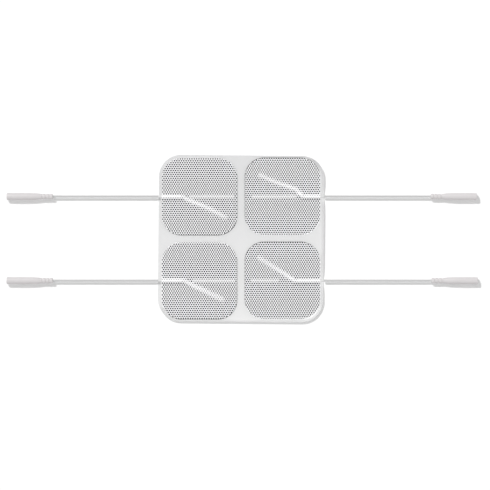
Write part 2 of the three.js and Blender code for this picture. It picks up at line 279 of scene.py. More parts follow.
class Electrode:
    """One electrode. Its own u runs inwards from its lead towards the set's middle, v sideways."""

    def __init__(self, number):
        low, high = mm_box(f"cover_{number}")
        self.number = number
        self.centre = (low + high) / 2
        self.edge = (high.x - low.x) / 2
        self.half = np.array([self.edge, (high.y - low.y) / 2])
        self.turn = 1 if self.centre.x < 0 else -1
        self.fan = ELECTRODES[number]["fan"]
        self.film_top = mm_box(f"film_{number}")[1].z
        self.cover_top = self.film_top + LAYER_GAP + COVER_THICKNESS
        lead_low, lead_high = mm_box(f"lead_jacket_{number}")
        self.lead_height = (lead_low.z + lead_high.z) / 2
        self.tail_inner = self.span(f"lead_tail_{number}")[1]
        self.boot_open, self.boot_rear = self.span(f"boot_{number}")

    def span(self, node):
        """Lowest and highest u of a CAD node."""
        low, high = mm_box(node)
        ends = [self.turn * (low.x - self.centre.x), self.turn * (high.x - self.centre.x)]
        return min(ends), max(ends)

    def place(self, points):
        """Points of the shared frame for an array of u, v, z."""
        points = np.asarray(points, float)
        flip = np.array([self.turn, self.turn, 1.0])
        return points * flip + np.array([self.centre.x, self.centre.y, 0.0])

    def at(self, u):
        """A point on the lead's axis line at u, in metres."""
        return Vector(self.place([[u, 0, self.lead_height]])[0]) * MM


# ---------------------------------------------------------------- meshes

def make_object(name, points, faces, material):
    """A smooth-shaded piece from points in millimetres, with its sharp edges marked."""
    mesh = bpy.data.meshes.new(name)
    mesh.from_pydata((np.asarray(points) * MM).tolist(), [], faces)
    mesh.polygons.foreach_set("use_smooth", [True] * len(mesh.polygons))
    mesh.set_sharp_from_angle(angle=math.radians(SHARP_DEGREES))
    obj = bpy.data.objects.new(name, mesh)
    bpy.context.scene.collection.objects.link(obj)
    mesh.materials.append(material)
    return obj


def ring_faces(ring_count, sides, start=0, wrap=False):
    """Quads between rings. The rings run anticlockwise when looking along the row of rings."""
    faces = []
    last = ring_count if wrap else ring_count - 1
    for ring in range(last):
        here = start + ring * sides
        there = start + ((ring + 1) % ring_count) * sides
        for side in range(sides):
            beside = (side + 1) % sides
            faces.append((here + side, there + side, there + beside, here + beside))
    return faces


def capped(ring_count, sides, start=0):
    """Quads between rings, and a flat cap on the first and last ring."""
    first = list(range(start, start + sides))
    last_start = start + (ring_count - 1) * sides
    last = list(range(last_start + sides - 1, last_start - 1, -1))
    return ring_faces(ring_count, sides, start) + [first, last]


def round_ring(u, radius, height, sides, seam=0.0):
    """A ring about the lead's axis. seam raises the two points that face sideways."""
    ring = []
    for side in range(sides):
        angle = 2 * math.pi * side / sides
        grown = radius + (seam if side in (0, sides // 2) else 0.0)
        ring.append((u, -grown * math.cos(angle), height + grown * math.sin(angle)))
    return ring


def turned(name, electrode, profile, sides, material, seams=None):
    """A hollow body turned about the lead's axis from a closed [radius, u] profile.
    The outer wall runs towards higher u. seams gives the seam height per profile point."""
    seams = seams or [0.0] * len(profile)
    points = []
    for (radius, u), seam in zip(profile, seams):
        points += round_ring(u, radius, electrode.lead_height, sides, seam)
    faces = ring_faces(len(profile), sides, wrap=True)
    return make_object(name, electrode.place(points), faces, material)


def rounded_rectangle(half, corner, spacing):
    """Outline points, anticlockwise. half is half the length and half the width."""
    points = []
    corner_steps = max(CORNER_STEPS_LEAST, round(corner * math.pi / 2 / spacing))
    for quarter in range(4):
        turn = quarter * math.pi / 2
        outward = np.array([round(math.cos(turn)), round(math.sin(turn))])
        along = np.array([-outward[1], outward[0]])
        reach = abs(outward @ half)
        straight = 2 * (abs(along @ half) - corner)
        start = outward * reach - along * straight / 2
        straight_steps = max(1, round(straight / spacing))
        for step in range(straight_steps):
            points.append(start + along * straight * step / straight_steps)
        middle = outward * (reach - corner) + along * straight / 2
        for step in range(corner_steps):
            angle = turn + math.pi / 2 * step / corner_steps
            points.append(middle + corner * np.array([math.cos(angle), math.sin(angle)]))
    return np.array(points)


def inside_depth(points, half, corner):
    """How far inside a rounded rectangle each point is (negative outside)."""
    beyond = np.abs(points) - (half - corner)
    outside = np.linalg.norm(np.maximum(beyond, 0), axis=1)
    inside = np.minimum(beyond.max(axis=1), 0)
    return corner - outside - inside


def grid(half, step_u, step_v):
    """Points in rows and columns over a rectangle."""
    us = np.arange(-half[0], half[0], step_u)
    vs = np.arange(-half[1], half[1], step_v)
    return np.array([(u, v) for u in us for v in vs])


def triangulate(outline, holes, guides):
    """Triangles inside the outline and outside the holes, using the guide points."""
    points = [Vector(p) for p in outline]
    faces = [list(range(len(outline)))]
    for hole in holes:
        faces.append(list(range(len(points), len(points) + len(hole))))
        points += [Vector(p) for p in hole]
    points += [Vector(p) for p in guides]
    found, _, triangles, _, _, sources = delaunay_2d_cdt(
        points, [], faces, ONLY_INSIDE_OUTLINES, MERGE_DISTANCE)
    kept = [t for t, source in zip(triangles, sources) if list(source) == [0]]
    used = sorted({corner for t in kept for corner in t})
    renumber = {old: new for new, old in enumerate(used)}
    flat = np.array([tuple(found[old]) for old in used])
    return flat, [tuple(renumber[corner] for corner in t) for t in kept]


def boundary(triangles):
    """Directed edges that only one triangle has."""
    edges = {(t[i], t[(i + 1) % 3]) for t in triangles for i in range(3)}
    return [edge for edge in edges if (edge[1], edge[0]) not in edges]


def outward_at(flat, edges):
    """Outward directions at the boundary's points."""
    outward = np.zeros_like(flat)
    for a, b in edges:
        along = flat[b] - flat[a]
        normal = np.array([along[1], -along[0]]) / np.linalg.norm(along)
        outward[a] += normal
        outward[b] += normal
    length = np.linalg.norm(outward, axis=1, keepdims=True)
    return outward / np.where(length > 0, length, 1)


def sheet(name, electrode, outline, top, bottom, material, holes=(), guides=(), rim=()):
    """A closed sheet between two height functions. rim lists (outset, share of the height) from the
    top edge down, for an edge that bulges."""
    flat, triangles = triangulate(outline, holes, guides)
    count = len(flat)
    upper = np.column_stack([flat, top(flat)])
    lower = np.column_stack([flat, bottom(flat)])
    edges = sorted(boundary(triangles))
    levels = [upper]
    outward = outward_at(flat, edges)
    for outset, share in rim:
        level = lower + (upper - lower) * share
        level[:, :2] += outward * outset
        levels.append(level)
    levels.append(lower)
    on_edge = sorted({corner for edge in edges for corner in edge})
    points = [upper, lower] + [level[on_edge] for level in levels[1:-1]]
    slot = {corner: order for order, corner in enumerate(on_edge)}

    def index(level, corner):
        if level == 0:
            return corner
        if level == len(levels) - 1:
            return count + corner
        return 2 * count + (level - 1) * len(on_edge) + slot[corner]

    faces = list(triangles) + [tuple(count + corner for corner in reversed(t)) for t in triangles]
    for a, b in edges:
        for level in range(len(levels) - 1):
            faces.append((index(level, a), index(level + 1, a), index(level + 1, b), index(level, b)))
    points = np.vstack(points)
    if electrode:
        points = electrode.place(points)
    return make_object(name, points, faces, material)


# ---------------------------------------------------------------- materials

class Look:
    """A Principled material with short calls for its nodes. Texture scales are features per metre."""

    def __init__(self, name, roughness, metallic=0.0, **more):
        self.material = bpy.data.materials.new(name)
        self.material.use_nodes = True
        self.tree = self.material.node_tree
        self.surface = self.tree.nodes["Principled BSDF"]
        self.output = self.tree.nodes["Material Output"]
        self.surface.inputs["Roughness"].default_value = roughness
        self.surface.inputs["Metallic"].default_value = metallic
        for key, value in more.items():
            self.surface.inputs[key.replace("_", " ")].default_value = value
        self.place = self.tree.nodes.new("ShaderNodeTexCoord").outputs["Object"]

    def node(self, kind, **inputs):
        made = self.tree.nodes.new(kind)
        for key, value in inputs.items():
            socket = made.inputs[key]
            if isinstance(value, bpy.types.NodeSocket):
                self.tree.links.new(value, socket)
            else:
                socket.default_value = value
        return made

    def stretched(self, scale):
        return self.node("ShaderNodeMapping", Vector=self.place, Scale=scale).outputs[0]

    def noise(self, scale, detail=3.0, vector=None):
        made = self.node("ShaderNodeTexNoise", Vector=vector or self.place, Scale=scale, Detail=detail)
        return made.outputs["Fac"]

    def ramp(self, factor, low, high):
        made = self.node("ShaderNodeMapRange", Value=factor)
        made.inputs["To Min"].default_value = low
        made.inputs["To Max"].default_value = high
        return made.outputs[0]

    def mix(self, factor, first, second):
        made = self.tree.nodes.new("ShaderNodeMix")
        made.data_type = "RGBA"
        self.tree.links.new(factor, made.inputs["Factor"])
        made.inputs["A"].default_value = (*first, 1)
        made.inputs["B"].default_value = (*second, 1)
        return made.outputs["Result"]

    def colour(self, socket):
        self.tree.links.new(socket, self.surface.inputs["Base Color"])

    def vary_roughness(self, socket):
        self.tree.links.new(socket, self.surface.inputs["Roughness"])

    def bump(self, height, distance, strength=1.0):
        made = self.node("ShaderNodeBump", Height=height, Distance=distance, Strength=strength)
        self.tree.links.new(made.outputs[0], self.surface.inputs["Normal"])

    def see_through(self, share):
        clear = self.tree.nodes.new("ShaderNodeBsdfTransparent")
        mixed = self.tree.nodes.new("ShaderNodeMixShader")
        mixed.inputs[0].default_value = share
        self.tree.links.new(self.surface.outputs[0], mixed.inputs[1])
        self.tree.links.new(clear.outputs[0], mixed.inputs[2])
        self.tree.links.new(mixed.outputs[0], self.output.inputs["Surface"])


def fabric_look():
    """White bonded fabric: fine crossed fibres, slightly uneven in tone."""
    look = Look("white_bonded_fabric", 0.9, Sheen_Weight=0.15)
    look.colour(look.mix(look.noise(700, 4), (0.925, 0.925, 0.933), (0.955, 0.955, 0.965)))
    along = look.noise(1.0, 2, look.stretched((900, 9000, 3000)))
    across = look.noise(1.0, 2, look.stretched((9000, 900, 3000)))
    fibres = look.node("ShaderNodeMath")
    look.tree.links.new(along, fibres.inputs[0])
    look.tree.links.new(across, fibres.inputs[1])
    look.bump(fibres.outputs[0], 0.00004, 0.6)
    return look.material


def tape_look():
    """Thin white tape, painted grey: partly the black film behind it, partly painted shade for the
    holes above.
    """
    look = Look("white_tape_painted_shade", 0.75)
    # Partly painted shade: the grey stands in for the shade inside the cover's holes over the tape.
    look.colour(look.mix(look.noise(900), (0.34, 0.34, 0.34), (0.42, 0.42, 0.42)))
    look.bump(look.noise(5000, 2), 0.00002, 0.5)
    return look.material


def film_look():
    """Black carbon-filled film, satin, with a fine grain."""
    look = Look("black_carbon_film", 0.5)
    look.colour(look.mix(look.noise(1500, 4), (0.010, 0.010, 0.011), (0.028, 0.028, 0.030)))
    look.vary_roughness(look.ramp(look.noise(2500), 0.38, 0.62))
    look.bump(look.noise(6000, 2), 0.00001, 0.5)
    return look.material


def gel_look():
    """Clear, tacky hydrogel, slightly cloudy and uneven."""
    look = Look("clear_hydrogel", 0.15, Transmission_Weight=0.35, IOR=1.4)
    look.colour(look.mix(look.noise(260, 3), (0.60, 0.63, 0.63), (0.70, 0.73, 0.73)))
    look.vary_roughness(look.ramp(look.noise(900), 0.1, 0.3))
    look.bump(look.noise(1200, 3), 0.00003, 0.4)
    look.see_through(0.7)
    return look.material


def liner_look():
    """Frosted clear film, a little cloudy, with painted shading: lighter towards its lower edge."""
    look = Look("frosted_liner_film", 0.4, Coat_Weight=0.3, Coat_Roughness=0.25)
    # Painted shading: the colour runs from darker at the upper edge to lighter at the lower edge.
    height = look.node("ShaderNodeSeparateXYZ", Vector=look.place).outputs["Y"]
    towards = look.node("ShaderNodeMapRange", Value=height)
    towards.inputs["From Min"].default_value = LINER_PAINTED_SHADE_REACH
    towards.inputs["From Max"].default_value = -LINER_PAINTED_SHADE_REACH
    cloudy = look.ramp(look.noise(60, 4), -0.3, 0.3)
    factor = look.node("ShaderNodeMath")
    factor.use_clamp = True
    look.tree.links.new(towards.outputs[0], factor.inputs[0])
    look.tree.links.new(cloudy, factor.inputs[1])
    look.colour(look.mix(factor.outputs[0], (0.735, 0.735, 0.74), (0.815, 0.815, 0.815)))
    look.vary_roughness(look.ramp(look.noise(1500, 4), 0.3, 0.5))
    look.bump(look.noise(4000, 3), 0.00001, 0.5)
    look.see_through(0.12)
    return look.material


def insulation_look():
    """Soft grey-white cable plastic, faintly drawn along its length."""
    look = Look("lead_plastic", 0.4, Coat_Weight=0.15, Coat_Roughness=0.2)
    look.colour(look.mix(look.noise(400, 3), (0.50, 0.50, 0.50), (0.56, 0.56, 0.56)))
    look.bump(look.noise(1.0, 2, look.stretched((500, 4000, 4000))), 0.00002, 0.4)
    look.vary_roughness(look.ramp(look.noise(1500), 0.34, 0.48))
    return look.material


def exit_look():
    """The same plastic, painted lighter over the liner's margin and under the cover: painted light that
    makes the leads there look as pale as the liner.
    """
    look = Look("lead_plastic_painted_lighter", 0.5)
    look.colour(look.mix(look.noise(400, 3), (0.66, 0.66, 0.66), (0.72, 0.72, 0.72)))
    look.bump(look.noise(3000, 2), 0.00002, 0.4)
    look.vary_roughness(look.ramp(look.noise(1500), 0.44, 0.58))
    return look.material


def boot_look():
    """Pinkish-grey moulded plastic with a fine spark-eroded texture."""
    look = Look("boot_plastic", 0.5, Coat_Weight=0.1, Coat_Roughness=0.3)
    look.colour(look.mix(look.noise(300, 3), (0.60, 0.578, 0.582), (0.67, 0.645, 0.65)))
    look.bump(look.noise(3500, 3), 0.00003, 0.5)
    look.vary_roughness(look.ramp(look.noise(900), 0.42, 0.58))
    return look.material


def metal_look(name, low, high, roughness):
    """Plated metal between two tones, drawn along its length."""
    look = Look(name, roughness, metallic=1.0)
    look.colour(look.mix(look.noise(1200, 3), low, high))
    look.vary_roughness(look.ramp(look.noise(2500), roughness - 0.08, roughness + 0.1))
    look.bump(look.noise(1.0, 2, look.stretched((400, 6000, 6000))), 0.00001, 0.4)
    return look.material


def floor_look():
    """A plain, pale and dull floor."""
    look = Look("pale_floor", 0.9)
    look.colour(look.mix(look.noise(2, 2), (0.93, 0.93, 0.93), (0.94, 0.94, 0.94)))
    return look.material


# ---------------------------------------------------------------- the cover's ridge

def spline(points, steps):
    """A smooth path through the points, with so many steps between each two."""
    points = [np.array(point, float) for point in points]
    padded = [points[0]] + points + [points[-1]]
    path = []
    for before, here, there, after in zip(padded, padded[1:], padded[2:], padded[3:]):
        for step in range(steps):
            t = step / steps
            slope_here = (there - before) / 2
            slope_there = (after - here) / 2
            cubic = 2 * here - 2 * there + slope_here + slope_there
            square = -3 * here + 3 * there - 2 * slope_here - slope_there
            path.append(cubic * t**3 + square * t**2 + slope_here * t + here)
    return np.array(path + [points[-1]])


def strand_path(electrode):
    """The strands' way, with how far along each point is and how settled on the film it is."""
    start = (electrode.tail_inner, 0.0)
    path = spline([start] + ELECTRODES[electrode.number]["route"], SPLINE_STEPS)
    lengths = np.linalg.norm(np.diff(path, axis=0), axis=1)
    along = np.concatenate([[0.0], np.cumsum(lengths)])
    return path, along, smooth(along / SETTLE_LENGTH)


def ridge_route(electrode):
    """Rows of u, v, rise, half-width of the crest, half-width of the foot, and how narrow the holes
    over the crest are drawn (1 the most)."""
    lead_rise = electrode.lead_height + LEAD_RADIUS + CLEARANCE + COVER_THICKNESS - electrode.cover_top
    strand_rise = STRAND_FILM_GAP + STRAND_HEIGHT + CLEARANCE - LAYER_GAP
    fan_crest = FAN_CREST_SHARE * electrode.fan
    over_lead = np.array([lead_rise, LEAD_CREST, LEAD_FOOT, 1.0])
    over_strands = np.array([strand_rise, STRAND_CREST, STRAND_FOOT, 1.0])
    over_fan = np.array([strand_rise, fan_crest, electrode.fan + FAN_FOOT_MARGIN, FAN_NARROWING])
    path, along, settled = strand_path(electrode)
    rows = [[-electrode.edge - RIDGE_RUN_OUT, 0, *over_lead]]
    for point, share, spread in zip(path, settled, along / along[-1]):
        settled_ridge = over_strands + (over_fan - over_strands) * spread
        rows.append([*point, *(over_lead + (settled_ridge - over_lead) * share)])
    return np.array(rows)


def nearest_on_route(points, route):
    """Each point's distance from the route, and the route's values interpolated there."""
    distance = np.full(len(points), np.inf)
    values = np.zeros((len(points), route.shape[1] - 2))
    for a, b in zip(route[:-1], route[1:]):
        along = b[:2] - a[:2]
        t = np.clip((points - a[:2]) @ along / (along @ along), 0, 1)[:, None]
        here = np.linalg.norm(points - (a[:2] + t * along), axis=1)
        closer = here < distance
        distance[closer] = here[closer]
        values[closer] = (a[2:] + t * (b[2:] - a[2:]))[closer]
    return distance, values


def strip_rise(electrode, points):
    """How far the cover is lifted over the retaining strip."""
    low, high = mm_box(f"strip_{electrode.number}")
    start, end = electrode.span(f"strip_{electrode.number}")
    half = (high.y - low.y) / 2
    beyond_side = np.abs(points[:, 1]) - half
    beyond_end = np.maximum(start - points[:, 0], points[:, 0] - end)
    beyond = np.maximum(beyond_side, beyond_end)
    return (high.z - low.z + STRIP_GAP) * (1 - smooth((beyond - STRIP_MARGIN) / STRIP_SLOPE))


def cover_height(electrode, route):
    """A function for the height of the cover's upper face."""
    def top(points):
        distance, values = nearest_on_route(points, route)
        rise, crest, foot, _ = values.T
        ridge = rise * (1 - smooth((distance - crest) / (foot - crest)))
        return electrode.cover_top + np.maximum(ridge, strip_rise(electrode, points))
    return top


def ridge_guides(route, centres, radii):
    """Points along the ridge's flanks, so that its shape shows in the mesh."""
    points = []
    for a, b in zip(route[:-1], route[1:]):
        along = b[:2] - a[:2]
        length = np.linalg.norm(along)
        side = np.array([along[1], -along[0]]) / length
        steps = max(1, round(length / RIDGE_GUIDE_STEP))
        for step in range(steps):
            middle = a[:2] + along * step / steps
            points += [middle + side * s * offset for offset in RIDGE_GUIDE_OFFSETS for s in (-1, 1)]
    points = np.array(points)
    gaps = (np.linalg.norm(points[:, None] - centres[None], axis=2) - radii).min(axis=1)
    return points[gaps > HOLE_GUIDE_GAP]


def hole_pattern(electrode, route):
    """Centres and radii of the staggered pattern. The holes are drawn narrow over the ridge's crest."""
    reach = electrode.half.max() + HOLE_PITCH
    rows = round(reach / HOLE_ROW_PITCH)
    columns = round(reach / HOLE_PITCH)
    centres = []
    for row in range(-rows, rows + 1):
        for column in range(-columns, columns + 1):
            centres.append(((column + 0.5 * (row % 2)) * HOLE_PITCH, row * HOLE_ROW_PITCH))
    centres = np.array(centres) + ELECTRODES[electrode.number]["pattern"]
    on_pad = inside_depth(centres, electrode.half, PAD_CORNER) > -HOLE_RADIUS * EDGE_HOLE_SHARE
    centres = centres[on_pad]
    distance, ridge = nearest_on_route(centres, route)
    _, crest, _, narrowest = ridge.T
    narrow = narrowest * (1 - smooth((distance - crest - NARROW_START) / NARROW_EDGE))
    return centres, HOLE_RADIUS - (HOLE_RADIUS - NARROW_HOLE_RADIUS) * narrow


def hole_outline(centre, radius):
    points = []
    for side in range(HOLE_SIDES):
        angle = 2 * math.pi * side / HOLE_SIDES
        points.append((centre[0] + radius * math.cos(angle), centre[1] + radius * math.sin(angle)))
    return points


def peels(piece, electrode):
    """Fixes the piece's place in its points. The peel's ends about the pad's inner edge are worked out
    but not used, so nothing curls.
    """
    start = electrode.at(electrode.edge + PEEL_REACH)
    end = electrode.at(electrode.edge - PEEL_REACH)
    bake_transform(piece)


def bends_at_pad(piece, electrode):
    """Fixes the piece's place in its points. The bend's ends just outside the pad's outer edge are
    worked out but not used, so nothing bends.
    """
    start = electrode.at(-electrode.edge)
    end = electrode.at(-electrode.edge - EXIT_REACH)
    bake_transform(piece)


def bends_at_plug(piece, electrode):
    """Fixes the piece's place in its points. The bend's ends in the boot's strain relief are worked out
    but not used, so nothing bends.
    """
    start = electrode.at(electrode.boot_rear + PLUG_START)
    end = electrode.at(electrode.boot_rear - PLUG_REACH)
    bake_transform(piece)


def build_cover(electrode, material):
    """The perforated cover, draped over the lead, the strands and the tape."""
    route = ridge_route(electrode)
    centres, radii = hole_pattern(electrode, route)
    outline = rounded_rectangle(electrode.half, PAD_CORNER, COVER_OUTLINE_STEP)
    guides = ridge_guides(route, centres, radii)
    guides = guides[inside_depth(guides, electrode.half, PAD_CORNER) > COVER_GUIDE_INSET]
    top = cover_height(electrode, route)
    cover = sheet(
        f"perforated_cover_{electrode.number}", electrode, outline, top,
        lambda points: top(points) - COVER_THICKNESS, material,
        holes=[hole_outline(centre, radius) for centre, radius in zip(centres, radii)], guides=guides,
    )
    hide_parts(f"cover_{electrode.number}")
    peels(cover, electrode)


def flat_height(height):
    """A height function that is the same everywhere."""
    return lambda points: np.full(len(points), height)


def layer(electrode, node, name, corner, material, rim=()):
    """A rounded-square layer of the pad, with a grid of points that are closer along u."""
    low, high = mm_box(node)
    half = np.array([high.x - low.x, high.y - low.y]) / 2
    bulge = max([outset for outset, _ in rim], default=0)
    shift = electrode.turn * np.array([(low.x + high.x) / 2 - electrode.centre.x,
                                       (low.y + high.y) / 2 - electrode.centre.y])
    outline = rounded_rectangle(half - bulge, corner - bulge, LAYER_OUTLINE_STEP)
    guides = grid(half, LAYER_STEP_U, LAYER_STEP_V)
    guides = guides[inside_depth(guides, half, corner) > LAYER_GRID_INSET + bulge]
    piece = sheet(name, electrode, outline + shift, flat_height(high.z), flat_height(low.z), material,
                  guides=guides + shift, rim=rim)
    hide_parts(node)
    peels(piece, electrode)


def build_strip(electrode, material):
    """The straight tape between film and cover."""
    node = f"strip_{electrode.number}"
    low, high = mm_box(node)
    start, end = electrode.span(node)
    half = (high.y - low.y) / 2
    us = np.linspace(start, end, round(end - start) + 1)
    outline = [(u, -half) for u in us] + [(u, half) for u in us[::-1]]
    strip = sheet(f"retaining_strip_{electrode.number}", electrode, outline, flat_height(high.z),
                  flat_height(low.z), material, guides=[(u, 0.0) for u in us[1:-1]])
    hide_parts(node)
    peels(strip, electrode)


def strand_stations(electrode):
    """Along the strands: middle, unit vector to the right, how settled and how far fanned out."""
    path, along, settled = strand_path(electrode)
    first = -electrode.edge + STRAND_INSET
    in_tail = np.arange(first, electrode.tail_inner - STRAND_END_GAP, STRAND_STEP)
    path = np.vstack([np.column_stack([in_tail, np.zeros(len(in_tail))]), path])
    settled = np.concatenate([np.zeros(len(in_tail)), settled])
    spread = np.concatenate([np.zeros(len(in_tail)), along / along[-1]])
    slope = np.gradient(path, axis=0)
    slope /= np.linalg.norm(slope, axis=1, keepdims=True)
    right = np.column_stack([slope[:, 1], -slope[:, 0]])
    return list(zip(path, right, settled, spread))


def wire_point(electrode, wire, station, along):
    """Centre of one wire: twisted in the bundle, then laid side by side on the film."""
    middle, side, settled, spread = station
    angle = 2 * math.pi * (wire / (WIRES - 1) + along / WIRE_LAY)
    orbit = 0.0 if wire == WIRES - 1 else CORE_RADIUS - WIRE_RADIUS
    bundled = np.array([orbit * math.cos(angle), electrode.lead_height + orbit * math.sin(angle)])
    half = STRAND_HALF_WIDTH + (electrode.fan - STRAND_HALF_WIDTH) * spread - WIRE_RADIUS
    rank = (wire * WIRE_ORDER) % WIRES
    wave = math.sin(RIPPLE_PER_MM * along + RIPPLE_PER_WIRE * wire)
    ripple = WIRE_RIPPLE * wave * settled * (1 - spread)
    height = electrode.film_top + STRAND_FILM_GAP + WIRE_RADIUS + WIRE_LIFT + WIRE_STAGGER * (rank % 2)
    laid = np.array([half * (2 * rank / (WIRES - 1) - 1) + ripple, height])
    aside, level = bundled * (1 - settled) + laid * settled
    return np.array([middle[0] + side[0] * aside, middle[1] + side[1] * aside, level])


def build_strands(electrode, material):
    """The seven wires of the conductor, from the pad's edge to the end of their fan."""
    stations = strand_stations(electrode)
    points = []
    faces = []
    for wire in range(WIRES):
        first = len(points)
        for station in stations:
            along = np.linalg.norm(station[0] - stations[0][0])
            centre = wire_point(electrode, wire, station, along)
            side = np.array([*station[1], 0.0])
            for corner in range(WIRE_SIDES):
                angle = 2 * math.pi * corner / WIRE_SIDES
                points.append(centre + side * WIRE_RADIUS * math.cos(angle)
                              + np.array([0, 0, WIRE_RADIUS * math.sin(angle)]))
        faces += capped(len(stations), WIRE_SIDES, first)
    strands = make_object(f"bare_strands_{electrode.number}", electrode.place(points), faces, material)
    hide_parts(f"strands_{electrode.number}")
    peels(strands, electrode)


def lead_stations(electrode, start, end):
    """Places along the lead, close together where it bends."""
    bend_from = -electrode.edge + LEAD_BEND_INSIDE
    bend_to = -electrode.edge - EXIT_REACH - LEAD_BEND_BEYOND
    outside = np.linspace(end, bend_to, LEAD_RINGS_OUTSIDE)
    bend = np.arange(bend_to, bend_from, LEAD_BEND_STEP)
    inside = np.linspace(bend_from, start, LEAD_RINGS_INSIDE)
    return np.unique(np.concatenate([outside, bend, inside]))


def insulation_length(name, node, electrode, us, material):
    """One length of the insulation: a tube about the conductor."""
    outer = [[LEAD_RADIUS, u] for u in us]
    inner = [[CORE_RADIUS + CLEARANCE, u] for u in us[::-1]]
    tube = turned(f"{name}_{electrode.number}", electrode, outer + inner, LEAD_SIDES, material)
    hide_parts(f"{node}_{electrode.number}")
    bends_at_pad(tube, electrode)


def build_lead(electrode, material, painted_lighter_material, core_material):
    """The conductor and its insulation, whose plastic is painted lighter from the liner's edge inwards.
    """
    end = electrode.boot_rear - LEAD_IN_BOOT
    liner_edge = electrode.span("release_liner")[0]
    us = np.union1d(lead_stations(electrode, electrode.tail_inner, end), [liner_edge])
    insulation_length("lead_insulation", "lead_jacket", electrode, us[us <= liner_edge], material)
    # From the liner's edge inwards the same plastic is painted lighter: painted light.
    insulation_length("lead_exit", "lead_tail", electrode, us[us >= liner_edge], painted_lighter_material)
    core_us = us[us < -electrode.edge]
    points = []
    for u in core_us:
        points += round_ring(u, CORE_RADIUS, electrode.lead_height, CORE_SIDES)
    core = make_object(f"lead_conductor_{electrode.number}", electrode.place(points),
                       capped(len(core_us), CORE_SIDES), core_material)
    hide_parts(f"lead_core_{electrode.number}")
    bends_at_pad(core, electrode)


def boot_outside():
    """[radius, distance from the open end] with the seam height, from the open end to the rear."""
    profile = []
    first_radius = BOOT_BARREL[0][0]
    for step in range(EDGE_STEPS):
        angle = math.pi / 2 * step / EDGE_STEPS
        radius = first_radius - BOOT_EDGE * (1 - math.sin(angle))
        profile.append(([radius, BOOT_EDGE * (1 - math.cos(angle))], 0.0))
    at = np.array([distance for _, distance in BOOT_BARREL])
    radii = np.array([radius for radius, _ in BOOT_BARREL])
    for distance in np.linspace(at[0], at[-1], BARREL_RINGS):
        profile.append(([float(np.interp(distance, at, radii)), float(distance)], SEAM_HEIGHT))
    for groove in range(RELIEF_GROOVES):
        start = RELIEF_START + groove * RELIEF_PERIOD
        for share in GROOVE_SHARES:
            depth = (RELIEF_RADIUS - RELIEF_GROOVE_RADIUS) * math.sin(math.pi * share) ** GROOVE_POWER
            profile.append(([RELIEF_RADIUS - depth, start + share * RELIEF_GROOVE_WIDTH], 0.0))
        rib = RELIEF_PERIOD - RELIEF_GROOVE_WIDTH
        for share in RIB_SHARES:
            swell = RIB_SWELL * math.sin(math.pi * share)
            profile.append(([RELIEF_RADIUS + swell, start + RELIEF_GROOVE_WIDTH + rib * share], 0.0))
    return profile


def boot_rear(length):
    """The rounded rear edge and the bore, from the rear face back to the mouth."""
    rounded = []
    for step in range(EDGE_STEPS + 1):
        angle = math.pi / 2 * step / EDGE_STEPS
        radius = RELIEF_RADIUS - RELIEF_EDGE * (1 - math.cos(angle))
        rounded.append([radius, length - RELIEF_EDGE * (1 - math.sin(angle))])
    deep = length - LEAD_SOCKET_DEPTH
    lead_bore = [length] + [length - inset for inset in LEAD_SOCKET_STEPS] + [deep]
    core_bore = [deep] + list(np.linspace(deep - CORE_BORE_STEP, CORE_BORE_FRONT, CORE_BORE_RINGS))
    bore = [[LEAD_BORE, distance] for distance in lead_bore]
    bore += [[CORE_BORE, distance] for distance in core_bore]
    bore += [[CRIMP_BORE, CRIMP_BORE_REAR], [CRIMP_BORE, CRIMP_BORE_FRONT]]
    bore += [[SOCKET_OUTER + SOCKET_PLAY, CRIMP_BORE_FRONT], [SOCKET_OUTER + SOCKET_PLAY, MOUTH_DEPTH]]
    bore += [[MOUTH_RADIUS, MOUTH_DEPTH], [MOUTH_RADIUS, MOUTH_CHAMFER]]
    bore += [[MOUTH_RADIUS + MOUTH_CHAMFER, 0.0]]
    return rounded + bore


def build_boot(electrode, material):
    """The moulded boot: barrel, ringed strain relief and stepped bore."""
    length = electrode.boot_rear - electrode.boot_open
    outside = boot_outside()
    profile = [point for point, _ in outside] + boot_rear(length)
    seams = [seam for _, seam in outside] + [0.0] * (len(profile) - len(outside))
    profile = [[radius, electrode.boot_open + distance] for radius, distance in profile]
    boot = turned(f"connector_boot_{electrode.number}", electrode, profile, BOOT_SIDES, material, seams)
    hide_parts(f"boot_{electrode.number}")
    bends_at_plug(boot, electrode)


def build_socket(electrode, material):
    """The turned pin socket: a chamfered blind bore in front and a crimp barrel behind. Its profile is
    [radius, distance from its mouth]."""
    low, high = electrode.span(f"pin_socket_{electrode.number}")
    rear = high - low
    profile = [
        [1.38, 0.0], [SOCKET_OUTER, 0.12], [SOCKET_OUTER, 4.0], [1.42, 4.1], [1.42, 4.6],
        [SOCKET_OUTER, 4.7], [SOCKET_OUTER, 14.7], [1.3, 14.9], [0.95, 14.9], [0.95, rear],
        [0.36, rear], [0.36, 15.2], [0.05, 15.0], [0.05, 12.2], [PIN_RADIUS, 11.6],
        [PIN_RADIUS, 0.25], [1.22, 0.0],
    ]
    profile = [[radius, low + distance] for radius, distance in profile]
    socket = turned(f"pin_contact_{electrode.number}", electrode, profile, SOCKET_SIDES, material)
    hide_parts(f"pin_socket_{electrode.number}")
    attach(socket, f"plug_{electrode.number}")


def build_core_end(electrode, material):
    """The conductor's end, from the crimp to the lead's insulation."""
    front = electrode.boot_open + CORE_END_FRONT
    rear = electrode.boot_rear - LEAD_SOCKET_DEPTH - CORE_END_GAP
    points = []
    for u in np.linspace(front, rear, CORE_END_RINGS):
        points += round_ring(u, CORE_RADIUS, electrode.lead_height, CORE_SIDES)
    core = make_object(f"crimped_conductor_{electrode.number}", electrode.place(points),
                       capped(CORE_END_RINGS, CORE_SIDES), material)
    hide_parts(f"core_end_{electrode.number}")
    bends_at_plug(core, electrode)


